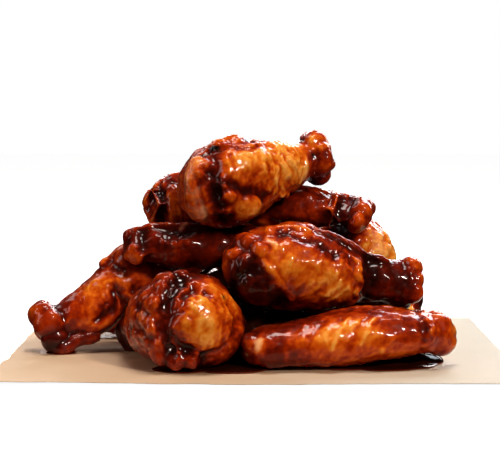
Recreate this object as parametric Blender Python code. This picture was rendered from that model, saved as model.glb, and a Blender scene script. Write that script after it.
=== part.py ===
"""A serving of glazed chicken wings: fifteen cooked pieces heaped on a sheet of brown paper.

+Z is up, -Y is the front, and the origin is the middle of the paper's underside.
Each wing is a tapered tube swept along its bone, from its thick end to its knuckle, with its muscles and joint
heads raised on it. The wings are then pressed apart, as soft meat is in a heap, so that each pair only touches.
"""

import math

import bpy
from mathutils import Matrix, Vector
from mathutils.bvhtree import BVHTree

MM = 0.001

# The sheet of paper
SHEET_WIDTH = 242.0
SHEET_DEPTH = 204.0
SHEET_THICKNESS = 0.6
SHEET_WAVER = 1.3
SHEET_EDGE_POINTS = 22

# How finely a wing is faceted
RINGS = 17
SIDES = 18

# How the heap is pressed together
CLEARANCE = 0.8
CLEARANCE_ON_SHEET = 0.3
PRESS_PASSES = 60

# The outline of each kind of wing: how much of its length each end is rounded over, then how thick it is along
# its length, as (share of the length, share of the greatest girth).
KINDS = {
    "drumette": {
        "thick_end": 0.24,
        "knuckle_end": 0.09,
        "girth": ((0, 0.86), (0.2, 1.0), (0.45, 0.94), (0.63, 0.76), (0.77, 0.54), (0.86, 0.5), (0.94, 0.58), (1, 0.58)),
    },
    "flat": {
        "thick_end": 0.15,
        "knuckle_end": 0.12,
        "girth": ((0, 0.66), (0.16, 0.86), (0.38, 1.0), (0.6, 0.96), (0.8, 0.78), (0.92, 0.78), (1, 0.66)),
    },
}

# Each wing: where the tips of its thick end and its knuckle lie, its half width and half thickness, how far it
# is rolled about its bone in degrees, how far its middle bows up, and its lumps, each as (share of the length,
# degrees round the bone, height, reach along the bone, reach round it). Sizes are in millimetres.
WINGS = {
    "drumette_top": {
        "kind": "drumette", "thick": (-39, -30, 79), "knuckle": (35, 2, 97), "width": 20, "depth": 20.5,
        "roll": 10, "bow": 0,
        "lumps": ((0.95, 90, 3, 6, 6), (0.95, -80, 3, 6, 6), (0.5, 40, 2.5, 14, 12), (0.3, -110, 3, 12, 12)),
    },
    "flat_top_left": {
        "kind": "flat", "thick": (-53, 0, 72), "knuckle": (-2, 48, 67), "width": 15.5, "depth": 12,
        "roll": 70, "bow": 0, "lumps": ((0.08, 0, 4, 9, 9), (0.1, 180, 3, 9, 9)),
    },
    "flat_top_right": {
        "kind": "flat", "thick": (-12, 8, 72), "knuckle": (56, -4, 67), "width": 15, "depth": 10,
        "roll": 15, "bow": 2, "lumps": ((0.93, 0, 3, 7, 7), (0.93, 180, 3, 7, 7)),
    },
    "flat_mid_left": {
        "kind": "flat", "thick": (8, -12, 50), "knuckle": (-66, -14, 53), "width": 14, "depth": 11.5,
        "roll": -12, "bow": 1, "lumps": ((0.93, 0, 3, 8, 8), (0.93, 180, 3, 8, 8)),
    },
    "drumette_mid_right": {
        "kind": "drumette", "thick": (-17, -46, 48), "knuckle": (77, -34, 35), "width": 20, "depth": 20,
        "roll": 0, "bow": 1,
        "lumps": ((0.95, 70, 3, 7, 7), (0.95, -90, 3, 7, 7), (0.45, 100, 2, 14, 14), (0.6, -40, 3, 10, 10)),
    },
    "drumette_back_right": {
        "kind": "drumette", "thick": (67, 8, 44), "knuckle": (0, 54, 50), "width": 20, "depth": 20,
        "roll": 0, "bow": 0, "lumps": ((0.95, 0, 3, 6, 6), (0.95, 180, 3, 6, 6)),
    },
    "drumette_mid_back": {
        "kind": "drumette", "thick": (-8, 60, 42), "knuckle": (-74, 46, 34), "width": 17, "depth": 17,
        "roll": 0, "bow": 0, "lumps": ((0.95, 0, 3, 6, 6), (0.95, 180, 3, 6, 6)),
    },
    "drumette_left": {
        "kind": "drumette", "thick": (-42, 12, 41), "knuckle": (-109, -18, 11), "width": 17, "depth": 17,
        "roll": 20, "bow": 0, "lumps": ((0.94, 90, 3, 7, 7), (0.9, -90, 6, 8, 8), (0.65, -60, 4, 12, 12)),
    },
    "drumette_front": {
        "kind": "drumette", "thick": (-22, -78, 24), "knuckle": (-62, -2, 10), "width": 25, "depth": 23,
        "roll": 0, "bow": 2, "lumps": ((0.1, -140, 4, 12, 12), (0.15, 30, 3, 14, 14)),
    },
    "flat_front": {
        "kind": "flat", "thick": (90, -48, 15), "knuckle": (-9, -62, 9), "width": 19, "depth": 13,
        "roll": 0, "bow": 1, "lumps": ((0.08, 20, 3, 8, 8), (0.06, 150, 4, 8, 8), (0.35, 90, 2, 20, 16)),
    },
    "drumette_centre": {
        "kind": "drumette", "thick": (-10, -40, 27), "knuckle": (-16, 50, 12), "width": 21, "depth": 21,
        "roll": 0, "bow": 2, "lumps": ((0.95, 0, 3, 6, 6), (0.95, 180, 3, 6, 6)),
    },
    "drumette_right": {
        "kind": "drumette", "thick": (6, 24, 22), "knuckle": (79, -14, 20), "width": 19, "depth": 19,
        "roll": 0, "bow": 0, "lumps": ((0.95, 90, 4, 6, 6), (0.95, -90, 3, 6, 6)),
    },
    "flat_back": {
        "kind": "flat", "thick": (82, 26, 14), "knuckle": (14, 66, 13), "width": 18, "depth": 12,
        "roll": 0, "bow": 1, "lumps": ((0.08, 0, 4, 8, 8), (0.08, 180, 4, 8, 8)),
    },
    "drumette_back_left": {
        "kind": "drumette", "thick": (-32, 48, 19), "knuckle": (-100, 30, 11), "width": 17, "depth": 17,
        "roll": 0, "bow": 0, "lumps": ((0.95, 0, 3, 6, 6), (0.95, 180, 3, 6, 6)),
    },
    "drumette_back": {
        "kind": "drumette", "thick": (8, 78, 19), "knuckle": (-64, 74, 11), "width": 18, "depth": 18,
        "roll": 0, "bow": 0, "lumps": ((0.95, 0, 3, 6, 6), (0.95, 180, 3, 6, 6)),
    },
}


def through(stations, share):
    """The height at this share of the way, on a smooth curve through (share, height) stations."""
    ends = [stations[0], *stations, stations[-1]]
    for before, start, end, after in zip(ends, ends[1:], ends[2:], ends[3:]):
        if share <= end[0] and end[0] > start[0]:
            break
    run = end[0] - start[0]
    t = (share - start[0]) / run
    slope_in = (end[1] - before[1]) / max(end[0] - before[0], run) * run
    slope_out = (after[1] - start[1]) / max(after[0] - start[0], run) * run
    return (
        start[1] * (2 * t**3 - 3 * t**2 + 1)
        + slope_in * (t**3 - 2 * t**2 + t)
        + end[1] * (3 * t**2 - 2 * t**3)
        + slope_out * (t**3 - t**2)
    )


def rounding(from_end, rounded):
    """How much of its girth a wing has this near its end, where the end is rounded like an egg."""
    return math.sqrt(1 - (1 - from_end / rounded) ** 2) if from_end < rounded else 1.0


def lump_height(wing, share, angle, length):
    """How far the lumps raise the surface at this share of the length and this angle round the bone."""
    raised = 0.0
    for along, around, height, reach, reach_round in wing["lumps"]:
        away = (share - along) * length / reach
        turn = (angle - math.radians(around) + math.pi) % (2 * math.pi) - math.pi
        sideways = turn * 0.8 * wing["width"] / reach_round
        raised += height * math.exp(-(away**2) - sideways**2)
    return raised


def wing_points(wing, length):
    """The rings of a wing lying along +X, its thick end's tip at the origin, then its two end points."""
    kind = KINDS[wing["kind"]]
    points = []
    for ring in range(1, RINGS + 1):
        share = 0.5 - 0.5 * math.cos(math.pi * ring / (RINGS + 1))
        swell = through(kind["girth"], share)
        swell *= rounding(share, kind["thick_end"]) * rounding(1 - share, kind["knuckle_end"])
        bow = wing["bow"] * (1 - (2 * share - 1) ** 2)
        for side in range(SIDES):
            angle = 2 * math.pi * side / SIDES
            raised = lump_height(wing, share, angle, length) * min(1.0, 1.5 * swell)
            across = (wing["width"] * swell + raised) * math.cos(angle)
            up = (wing["depth"] * swell + raised) * math.sin(angle)
            points.append(Vector((share * length, across, up + bow)))
    return points + [Vector((0, 0, 0)), Vector((length, 0, 0))]


def wing_faces():
    """Triangles round the rings, with a fan at each end."""
    thick_tip = RINGS * SIDES
    knuckle_tip = thick_tip + 1
    last = (RINGS - 1) * SIDES
    faces = []
    for side in range(SIDES):
        turned = (side + 1) % SIDES
        faces.append((thick_tip, turned, side))
        faces.append((knuckle_tip, last + side, last + turned))
        for ring in range(RINGS - 1):
            here, there = ring * SIDES, (ring + 1) * SIDES
            faces.append((here + side, here + turned, there + turned))
            faces.append((here + side, there + turned, there + side))
    return faces


def placing(wing):
    """The matrix that lays a wing from its thick end to its knuckle, rolled about its bone."""
    start, end = Vector(wing["thick"]), Vector(wing["knuckle"])
    along = (end - start).normalized()
    across = Vector((0, 0, 1)).cross(along).normalized()
    up = along.cross(across)
    turn = Matrix((along, across, up)).transposed().to_4x4()
    return Matrix.Translation(start) @ turn @ Matrix.Rotation(math.radians(wing["roll"]), 4, "X")


def pressed_apart(shapes, faces):
    """Moves the skins of neighbouring wings back until each pair is only in contact, and none sinks in the sheet."""
    names = list(shapes)
    floor = SHEET_THICKNESS + CLEARANCE_ON_SHEET
    for _ in range(PRESS_PASSES):
        trees = {name: BVHTree.FromPolygons(shapes[name], faces) for name in names}
        for name in names:
            others = [tree for other, tree in trees.items() if other != name]
            for point in shapes[name]:
                push = Vector()
                for tree in others:
                    nearest, normal, _, _ = tree.find_nearest(point, 16.0)
                    if nearest is None:
                        continue
                    gap = (point - nearest).dot(normal)
                    if gap < CLEARANCE:
                        push += normal * (CLEARANCE - gap) * 0.55
                point += push
                point.z = max(point.z, floor)
    return shapes


def material(name, color, roughness):
    made = bpy.data.materials.new(name)
    made.use_nodes = True
    shader = made.node_tree.nodes["Principled BSDF"]
    shader.inputs["Base Color"].default_value = (*color, 1)
    shader.inputs["Roughness"].default_value = roughness
    return made


def add_object(name, points, faces, finish, place=Matrix()):
    """One closed solid, its points given in millimetres in the frame that place then moves."""
    mesh = bpy.data.meshes.new(name)
    mesh.from_pydata([point * MM for point in points], [], faces)
    mesh.materials.append(finish)
    mesh.shade_smooth()
    made = bpy.data.objects.new(name, mesh)
    made.location = place.translation * MM
    made.rotation_euler = place.to_euler()
    bpy.context.collection.objects.link(made)
    return made


def add_sheet():
    """The paper, hand cut, so its edges waver a little."""
    corners = [(-1, -1), (1, -1), (1, 1), (-1, 1)]
    outline = []
    for corner, (here, there) in enumerate(zip(corners, corners[1:] + corners[:1])):
        for step in range(SHEET_EDGE_POINTS):
            share = step / SHEET_EDGE_POINTS
            x = (here[0] + (there[0] - here[0]) * share) * SHEET_WIDTH / 2
            y = (here[1] + (there[1] - here[1]) * share) * SHEET_DEPTH / 2
            waver = math.sin(math.pi * share) * math.sin(9.0 * share + 2.1 * corner) * SHEET_WAVER
            waver += math.sin(31.0 * share + corner) * SHEET_WAVER * 0.25
            inward = Vector((-(here[0] + there[0]), -(here[1] + there[1]), 0)).normalized()
            outline.append(Vector((x, y, 0)) + inward * (SHEET_WAVER + waver))
    middle = Vector([(min(side) + max(side)) / 2 for side in zip(*outline)])
    outline = [point - middle for point in outline]
    count = len(outline)
    points = outline + [point + Vector((0, 0, SHEET_THICKNESS)) for point in outline]
    faces = [tuple(reversed(range(count))), tuple(range(count, 2 * count))]
    for index in range(count):
        turned = (index + 1) % count
        faces.append((index, turned, count + turned, count + index))
    return add_object("paper_sheet", points, faces, material("kraft_paper", (0.74, 0.56, 0.38), 0.8))


def laid_out(places):
    """Every wing's points where it lies in the heap, before the wings are pressed apart."""
    shapes = {}
    for name, wing in WINGS.items():
        length = (Vector(wing["knuckle"]) - Vector(wing["thick"])).length
        shapes[name] = [places[name] @ point for point in wing_points(wing, length)]
    return shapes


def add_wings():
    faces = wing_faces()
    places = {name: placing(wing) for name, wing in WINGS.items()}
    shapes = laid_out(places)
    glaze = material("glazed_skin", (0.36, 0.06, 0.012), 0.25)
    for name, points in pressed_apart(shapes, faces).items():
        back = places[name].inverted()
        add_object(name, [back @ point for point in points], faces, glaze, places[name])


def main():
    for old in list(bpy.data.objects):
        bpy.data.objects.remove(old)
    add_sheet()
    add_wings()


main()
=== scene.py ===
import math
import random
import bpy
import numpy as np
from mathutils import Matrix, Vector, noise
from mathutils.bvhtree import BVHTree


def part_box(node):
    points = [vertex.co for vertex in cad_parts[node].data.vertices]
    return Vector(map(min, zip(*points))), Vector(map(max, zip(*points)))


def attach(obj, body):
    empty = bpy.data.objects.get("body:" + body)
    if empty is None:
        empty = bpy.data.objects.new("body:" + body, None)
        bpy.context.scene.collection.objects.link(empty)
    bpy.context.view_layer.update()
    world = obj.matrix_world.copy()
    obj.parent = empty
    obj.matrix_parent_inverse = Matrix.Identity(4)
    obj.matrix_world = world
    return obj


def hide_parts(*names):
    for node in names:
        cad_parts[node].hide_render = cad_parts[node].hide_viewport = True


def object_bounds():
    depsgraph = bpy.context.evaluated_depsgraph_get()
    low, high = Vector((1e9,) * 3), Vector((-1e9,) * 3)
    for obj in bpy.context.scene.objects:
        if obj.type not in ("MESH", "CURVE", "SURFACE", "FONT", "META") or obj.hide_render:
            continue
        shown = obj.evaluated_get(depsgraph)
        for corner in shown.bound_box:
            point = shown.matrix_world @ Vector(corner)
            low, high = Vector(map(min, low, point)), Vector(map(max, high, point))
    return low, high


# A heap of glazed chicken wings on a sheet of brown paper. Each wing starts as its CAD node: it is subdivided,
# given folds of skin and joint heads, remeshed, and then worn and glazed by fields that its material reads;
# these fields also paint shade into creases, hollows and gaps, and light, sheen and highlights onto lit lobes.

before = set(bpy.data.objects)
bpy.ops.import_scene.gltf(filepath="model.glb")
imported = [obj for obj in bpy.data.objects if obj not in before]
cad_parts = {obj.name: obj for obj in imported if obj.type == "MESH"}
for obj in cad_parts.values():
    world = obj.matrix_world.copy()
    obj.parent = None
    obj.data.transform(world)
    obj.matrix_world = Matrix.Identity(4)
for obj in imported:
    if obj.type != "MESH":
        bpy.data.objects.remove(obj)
cadLow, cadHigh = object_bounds()
mm = 0.001
noise.seed_set(5)   # so that every run draws the same lumps and runs of sauce


def pickOnly(*objects):
    bpy.ops.object.select_all(action="DESELECT")
    for one in objects:
        one.select_set(True)
    bpy.context.view_layer.objects.active = objects[0]


def applyModifier(piece, kind, **settings):
    pickOnly(piece)
    modifier = piece.modifiers.new(kind.lower(), kind)
    for key, value in settings.items():
        setattr(modifier, key, value)
    bpy.ops.object.modifier_apply(modifier=modifier.name)


def readPoints(mesh):
    points = np.empty(len(mesh.vertices) * 3, np.float32)
    mesh.vertices.foreach_get("co", points)
    return points.reshape(-1, 3).astype(np.float64)


def writePoints(mesh, points):
    mesh.vertices.foreach_set("co", points.astype(np.float32).ravel())
    mesh.update()


def readNormals(mesh):
    normals = np.empty(len(mesh.vertices) * 3, np.float32)
    mesh.vertex_normals.foreach_get("vector", normals)
    return normals.reshape(-1, 3).astype(np.float64)


def readEdges(mesh):
    edges = np.empty(len(mesh.edges) * 2, np.int32)
    mesh.edges.foreach_get("vertices", edges)
    return edges.reshape(-1, 2)


def storeField(mesh, name, values):
    field = mesh.attributes.new(name, "FLOAT", "POINT")
    field.data.foreach_set("value", values.astype(np.float32))


def evened(values, edges, rounds):
    # each point moves halfway to the middle of its neighbours, so many times over
    count = len(values)
    a, b = edges[:, 0], edges[:, 1]
    degree = np.maximum(np.bincount(a, minlength=count) + np.bincount(b, minlength=count), 1)
    flat = values.reshape(count, -1).copy()
    for _ in range(rounds):
        for column in range(flat.shape[1]):
            now = flat[:, column]
            total = np.bincount(a, weights=now[b], minlength=count)
            total = total + np.bincount(b, weights=now[a], minlength=count)
            flat[:, column] = 0.5 * now + 0.5 * total / degree
    return flat.reshape(values.shape)


def cloud(points, size, seed, octaves=3):
    # soft noise from about -1 to 1, its lumps about this size in metres
    shift = Vector((seed * 3.7, seed * -1.9, seed * 2.3))
    return np.array([noise.fractal(Vector(p) + shift, 1.0, 2.0, octaves) for p in points / size])


def treeOf(piece):
    mesh = piece.data
    mesh.calc_loop_triangles()
    faces = [tuple(t.vertices) for t in mesh.loop_triangles]
    return BVHTree.FromPolygons([v.co for v in mesh.vertices], faces)


def neighbours(name):
    # the skins of all wings but this one
    points, faces = [], []
    for other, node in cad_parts.items():
        if other in (name, "paper_sheet"):
            continue
        start = len(points)
        points += [v.co.copy() for v in node.data.vertices]
        faces += [tuple(start + i for i in p.vertices) for p in node.data.polygons]
    return BVHTree.FromPolygons(points, faces)


class Wire:
    # a socket that shader maths is written with: each operator adds a Math node
    def __init__(self, maker, socket):
        self.maker, self.socket = maker, socket

    def math(self, operation, first, second):
        return self.maker.node("ShaderNodeMath", {"operation": operation}, {0: first, 1: second})

    def __add__(self, other):
        return self.math("ADD", self, other)

    def __radd__(self, other):
        return self.math("ADD", other, self)

    def __sub__(self, other):
        return self.math("SUBTRACT", self, other)

    def __rsub__(self, other):
        return self.math("SUBTRACT", other, self)

    def __mul__(self, other):
        return self.math("MULTIPLY", self, other)

    def __rmul__(self, other):
        return self.math("MULTIPLY", other, self)


def setStops(ramp, stops):
    while len(ramp.elements) > 1:
        ramp.elements.remove(ramp.elements[-1])
    for index, (place, tone) in enumerate(stops):
        stop = ramp.elements[0] if index == 0 else ramp.elements.new(place)
        stop.position = place
        stop.color = (*tone, 1)


class Maker:
    # builds one material round its Principled shader
    def __init__(self, name):
        self.material = bpy.data.materials.new(name)
        self.material.use_nodes = True
        self.tree = self.material.node_tree
        self.shader = self.tree.nodes["Principled BSDF"]

    def put(self, socket, value):
        if isinstance(value, Wire):
            self.tree.links.new(value.socket, socket)
        elif hasattr(value, "__len__") and len(value) == 3 and len(socket.default_value) == 4:
            socket.default_value = (*value, 1)
        else:
            socket.default_value = value

    def node(self, kind, settings=None, inputs=None, output=0):
        made = self.tree.nodes.new(kind)
        for key, value in (settings or {}).items():
            if key == "stops":
                setStops(made.color_ramp, value)
            else:
                setattr(made, key, value)
        for key, value in (inputs or {}).items():
            self.put(made.inputs[key], value)
        return Wire(self, made.outputs[output])

    def noise(self, place, scale, **more):
        return self.node("ShaderNodeTexNoise", inputs={"Vector": place, "Scale": scale, **more})

    def clamp(self, value, low=0.0, high=1.0):
        # 0 at low, 1 at high, and no further
        return self.node("ShaderNodeMapRange", {"clamp": True}, {0: value, 1: low, 2: high, 3: 0.0, 4: 1.0})

    def mix(self, factor, first, second):
        return self.node("ShaderNodeMix", {"data_type": "RGBA"}, {0: factor, 6: first, 7: second}, output=2)

    def field(self, name):
        settings = {"attribute_name": name, "attribute_type": "GEOMETRY"}
        return self.node("ShaderNodeAttribute", settings, output=2)

    def bump(self, strength, depth, height):
        return self.node("ShaderNodeBump", inputs={"Strength": strength, "Distance": depth, "Height": height})

    def surface(self, **inputs):
        for key, value in inputs.items():
            self.put(self.shader.inputs[key], value)
        return self.material


camera = {"place": (0, -0.760, 0.122), "down": 4.875, "turn": 0.3, "lens": 110.16, "sensor": 36}


def addCamera():
    turn = (math.radians(90 - camera["down"]), 0, math.radians(camera["turn"]))
    bpy.ops.object.camera_add(location=camera["place"], rotation=turn)
    bpy.context.object.data.lens = camera["lens"]
    bpy.context.object.data.sensor_width = camera["sensor"]
    bpy.context.scene.camera = bpy.context.object


# one large lamp behind on each side, a small bright one for the glints, and a strip that rims the tops
lamps = {
    "backRight": {"place": (0.42, 0.85, 0.85), "aim": (0.0, 0, 0.05), "size": (0.5, 0.5), "power": 7.0,
                  "tint": (0.88, 0.97, 1.05)},
    "backLeft": {"place": (-0.5, 0.8, 0.8), "aim": (0.0, 0, 0.04), "size": (0.5, 0.5), "power": 1.6,
                 "tint": (1.0, 0.96, 0.94)},
    "frontRight": {"place": (0.60, -0.95, 0.80), "aim": (0, 0, 0.04), "size": (0.18, 0.18), "power": 13.0,
                   "tint": (1, 0.92, 0.83)},
    "left": {"place": (-0.9, -0.35, 0.45), "aim": (0, 0, 0.04), "size": (0.25, 0.9), "power": 3.2,
             "tint": (1, 0.88, 0.85)},
    "strip": {"place": (0.25, 0.95, 0.36), "aim": (0, 0, 0.05), "size": (1.1, 0.10), "power": 3.8,
              "tint": (1, 0.93, 0.92)},
    "over": {"place": (0.05, -0.05, 1.0), "aim": (0, 0, 0), "size": (0.35, 0.35), "power": 5.8,
             "tint": (1, 0.94, 0.88)},
}
room = {"seen": (1, 1, 1), "dim": (1, 0.92, 0.88), "dimStrength": 0.02, "gamma": 0.92}


def addLamps():
    for name, lamp in lamps.items():
        aim = Vector(lamp["aim"]) - Vector(lamp["place"])
        turn = aim.to_track_quat("-Z", "Y").to_euler()
        bpy.ops.object.light_add(type="AREA", location=lamp["place"], rotation=turn)
        light = bpy.context.object.data
        bpy.context.object.name = name
        light.shape = "RECTANGLE"
        light.size, light.size_y = lamp["size"]
        light.energy, light.color = lamp["power"], lamp["tint"]


def addRoom():
    # white to look at, nearly dark in what it sheds on the glaze
    world = bpy.data.worlds.new("studio")
    bpy.context.scene.world = world
    world.use_nodes = True
    nodes, links = world.node_tree.nodes, world.node_tree.links
    seen, dim = nodes["Background"], nodes.new("ShaderNodeBackground")
    path, blend = nodes.new("ShaderNodeLightPath"), nodes.new("ShaderNodeMixShader")
    seen.inputs[0].default_value, seen.inputs[1].default_value = (*room["seen"], 1), 1.0
    dim.inputs[0].default_value, dim.inputs[1].default_value = (*room["dim"], 1), room["dimStrength"]
    links.new(path.outputs["Is Camera Ray"], blend.inputs[0])
    links.new(dim.outputs[0], blend.inputs[1])
    links.new(seen.outputs[0], blend.inputs[2])
    links.new(blend.outputs[0], nodes["World Output"].inputs[0])
    settings = bpy.context.scene.view_settings
    settings.view_transform, settings.look, settings.gamma = "Standard", "None", room["gamma"]


ground = {"size": 6, "below": 0.5}


def addFloor():
    bpy.ops.mesh.primitive_plane_add(size=ground["size"], location=(0, 0, cadLow.z - ground["below"] * mm))
    floor = bpy.context.object
    floor.name = "studioFloor"
    floor.data.materials.append(Maker("paleFloor").surface(**{
        "Base Color": (0.4, 0.4, 0.4), "Roughness": 0.9,
        "Emission Color": (1, 1, 1), "Emission Strength": 0.97,
    }))
    floor.visible_glossy = False
    floor.visible_diffuse = False


addCamera()
addLamps()
addRoom()
addFloor()
print("camera, lights and floor are set")


# the skin's tone by how thick the sauce lies, from bare skin to near black; the same value also carries shade
# painted into creases, hollows and gaps
glaze = {
    "tones": [
        (0.0, (0.84, 0.35, 0.06)), (0.10, (0.74, 0.205, 0.013)), (0.24, (0.58, 0.086, 0.002)),
        (0.38, (0.35, 0.027, 0.0006)), (0.54, (0.165, 0.0085, 0.0005)), (0.72, (0.07, 0.0035, 0.0005)),
        (0.92, (0.022, 0.0014, 0.0005)),
    ],
    # the pale tone is bare skin and also painted sheen and highlights
    "char": (0.008, 0.003, 0.002), "pale": (0.92, 0.56, 0.30),
}


def glazedSkin():
    maker = Maker("glazedSkin")
    place = maker.node("ShaderNodeTexCoord", output=3)
    sauce, char, pale = maker.field("sauce"), maker.field("char"), maker.field("pale")
    mottle = maker.noise(place, 330, Detail=4, Roughness=0.6)
    blotch = maker.noise(place, 80, Detail=4, Roughness=0.6, Distortion=0.8)
    grain = maker.noise(place, 1100, Detail=3, Roughness=0.6)
    pores = maker.node("ShaderNodeTexVoronoi", inputs={"Vector": place, "Scale": 420, "Randomness": 1.0})
    # thin sauce lies evenly, thick sauce in blotches
    uneven = (mottle - 0.5) * 0.16 + (blotch - 0.5) * 0.26 + (0.25 - pores) * 0.06
    thick = sauce + uneven * maker.clamp(sauce, -0.25, 0.5)
    tone = maker.node("ShaderNodeValToRGB", {"stops": glaze["tones"]}, {0: thick})
    # the pale field lightens bare skin and also paints sheen and highlights on lit skin
    tone = maker.mix(maker.clamp(pale + (mottle - 0.5) * 0.5, 0.25, 0.9) * 0.8, tone, glaze["pale"])
    tone = maker.mix(maker.clamp(char + (mottle - 0.5) * 0.9, 0.3, 0.75), tone, glaze["char"])
    rough = maker.clamp(grain, 0.3, 0.75) * 0.2 + 0.25
    relief = mottle * 0.55 + blotch * 1.2 + grain * 0.05 - pores * 0.12
    return maker.surface(**{
        "Base Color": tone, "Roughness": rough, "IOR": 1.45, "Specular IOR Level": 0.06,
        "Normal": maker.bump(0.45, 0.0006, relief),
        "Coat Weight": 1.0, "Coat Roughness": 0.065, "Coat IOR": 1.32,
        "Subsurface Weight": 0.30, "Subsurface Radius": (1.0, 0.30, 0.06), "Subsurface Scale": 0.0022,
    })


def boneOf(wing):
    thick, knuckle = Vector(wing["thick"]) * mm, Vector(wing["knuckle"]) * mm
    along = (knuckle - thick).normalized()
    across = Vector((0, 0, 1)).cross(along).normalized()
    return thick, knuckle, along, across, along.cross(across)


def onSkin(tree, wing, share, around):
    # the place on the skin at this share of the way to the knuckle, this many degrees round the bone
    thick, knuckle, along, across, up = boneOf(wing)
    outward = across * math.cos(math.radians(around)) + up * math.sin(math.radians(around))
    start = thick.lerp(knuckle, share)
    hit, normal, _, _ = tree.ray_cast(start + outward * 0.08, -outward)
    if hit is None:
        hit, normal, _, _ = tree.find_nearest(start + outward * 0.01)
    return hit, normal


def smoothStep(p, q, r, s, t):
    # the Catmull-Rom curve from q to r, with p before them and s after
    return 0.5 * (2 * q + (r - p) * t + (2 * p - 5 * q + 4 * r - s) * t * t + (3 * q - p - 3 * r + s) * t ** 3)


def curvePath(tree, wing, stops):
    # a smooth line over the skin through a few (share, around) stops
    ends = [stops[0], *stops, stops[-1]] if len(stops) > 1 else []
    places = []
    for four in zip(ends, ends[1:], ends[2:], ends[3:]):
        for step in range(4):
            places.append([smoothStep(*values, step / 4) for values in zip(*four)])
    return [onSkin(tree, wing, *place) for place in places + [stops[-1]]]


def nearPath(points, path):
    # how far each point is from the line through these places
    path = np.array([tuple(p) for p in path])
    if len(path) == 1:
        return np.linalg.norm(points - path[0], axis=1)
    best = np.full(len(points), 1e9)
    for a, b in zip(path, path[1:]):
        span = b - a
        t = np.clip(((points - a) @ span) / max(span @ span, 1e-12), 0, 1)
        best = np.minimum(best, np.linalg.norm(points - (a + t[:, None] * span), axis=1))
    return best


def addFold(tree, wing, fold):
    # a round fold of skin lying along a line
    places = curvePath(tree, wing, fold["path"])
    curve = bpy.data.curves.new("fold", "CURVE")
    curve.dimensions, curve.use_fill_caps = "3D", True
    curve.bevel_depth, curve.bevel_resolution = 1.0, 3
    spline = curve.splines.new("POLY")
    spline.points.add(len(places) - 1)
    for index, (place, normal) in enumerate(places):
        spline.points[index].co = (*(place - normal * fold.get("sunk", 0) * mm), 1)
        edge = min(index, len(places) - 1 - index) / max(len(places) - 1, 1)
        spline.points[index].radius = fold["width"] * mm * (0.5 + min(edge * 3, 0.5))
    made = bpy.data.objects.new("fold", curve)
    bpy.context.collection.objects.link(made)
    pickOnly(made)
    bpy.ops.object.convert(target="MESH")
    return bpy.context.object


def addLobe(tree, wing, lobe):
    # a round joint head or muscle, at a share and an angle, sunk by some mm
    place, normal = onSkin(tree, wing, *lobe["at"])
    middle = place - normal * lobe["sunk"] * mm
    bpy.ops.mesh.primitive_ico_sphere_add(subdivisions=4, radius=1, location=middle)
    ball = bpy.context.object
    thick, knuckle, along, across, up = boneOf(wing)
    side = normal.cross(along).normalized()
    ball.rotation_euler = Matrix((along, side, along.cross(side))).transposed().to_euler()
    ball.scale = Vector(lobe["size"]) * mm
    bpy.ops.object.transform_apply(location=True, rotation=True, scale=True)
    return ball


def facesAway(tree, wing, mark):
    return all(onSkin(tree, wing, *at)[1].y > 0.25 for at in mark.get("path", [mark.get("at")]))


def ordinaryMarks(wing, tree):
    # joint heads, a skin edge, folds and patches; on a wing with marks of its own, only where it faces away
    pick = random.Random(wing["seed"])
    start = pick.uniform(0, 360)
    edge = pick.uniform(0.70, 0.78)
    rim = [(edge + pick.uniform(-0.02, 0.03), start + turn) for turn in (0, 40, 80, 120, 160)]
    folds = [{"path": rim, "width": 1.8, "sauce": -0.2, "pale": 0.15}]
    for _ in range(3):
        share, around = pick.uniform(0.1, 0.55), pick.uniform(0, 360)
        path = [(share, around), (share + 0.07, around + 22), (share + 0.18, around + 34)]
        width = pick.uniform(1.6, 2.6)
        folds.append({"path": path, "width": width, "sunk": 0.5, "sauce": pick.uniform(-0.1, 0.12)})
    lobes = []
    for turn in (20, 130, 240):
        at = (pick.uniform(0.93, 0.97), start + turn)
        lobes.append({"at": at, "size": (6, 6.5, 6), "sunk": 3.4, "sauce": pick.uniform(-0.1, 0.1)})
    for _ in range(2):
        at = (pick.uniform(0.12, 0.4), pick.uniform(0, 360))
        lobes.append({"at": at, "size": (12, 10, 7), "sunk": 4, "sauce": -0.12})
    below = [(edge + 0.04, start + turn) for turn in (0, 60, 120, 180)]
    strokes = [{"path": below, "width": 3.0, "lift": -1.6, "sauce": 0.25}]
    for _ in range(6):
        share, around = pick.uniform(0.05, 0.65), pick.uniform(0, 360)
        path = [(share, around), (share + 0.1, around + pick.uniform(-30, 30))]
        width, sauce = pick.uniform(4, 8), pick.uniform(-0.32, 0.2)
        strokes.append({"path": path, "width": width, "sauce": sauce, "pale": pick.uniform(-0.1, 0.15)})
    for _ in range(2):
        share, around = pick.uniform(0.15, 0.6), pick.uniform(0, 360)
        path = [(share, around), (share + 0.05, around + 15)]
        strokes.append({"path": path, "width": 1.8, "lift": -0.6, "char": 0.9})
    found = {"folds": folds, "lobes": lobes, "strokes": strokes}
    if "strokes" in wing and len(wing["strokes"]) > 2:
        for kind, marks in found.items():
            found[kind] = [mark for mark in marks if facesAway(tree, wing, mark)]
    return {**wing, **{kind: wing.get(kind, []) + marks for kind, marks in found.items()}}


def streaks(points, lines, warp, seed):
    # fibres under the skin: a noise drawn out along one direction
    angle = math.radians(lines["angle"])
    way = np.array((math.cos(angle), 0.15, math.sin(angle)))
    drawn = (points - np.outer(points @ way, way) * 0.90) / (lines["pitch"] * mm)
    return np.array([noise.noise(Vector(p)) for p in drawn + warp * 0.8 + seed])


def within(share, low, high, lowSoft, highSoft):
    # 1 from one share of the bone to another, 0 beyond them
    return np.clip((share - low) / lowSoft, 0, 1) * np.clip((high - share) / highSoft, 0, 1)


# what a wing has unless it says otherwise; its heights are in mm
ordinary = {
    "sauce": 0.45, "wrinkles": 0.35, "wrinklesFrom": 0.45, "wrinklesTo": 0.8, "lumps": 1.0, "bumps": 0.28,
}
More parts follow.
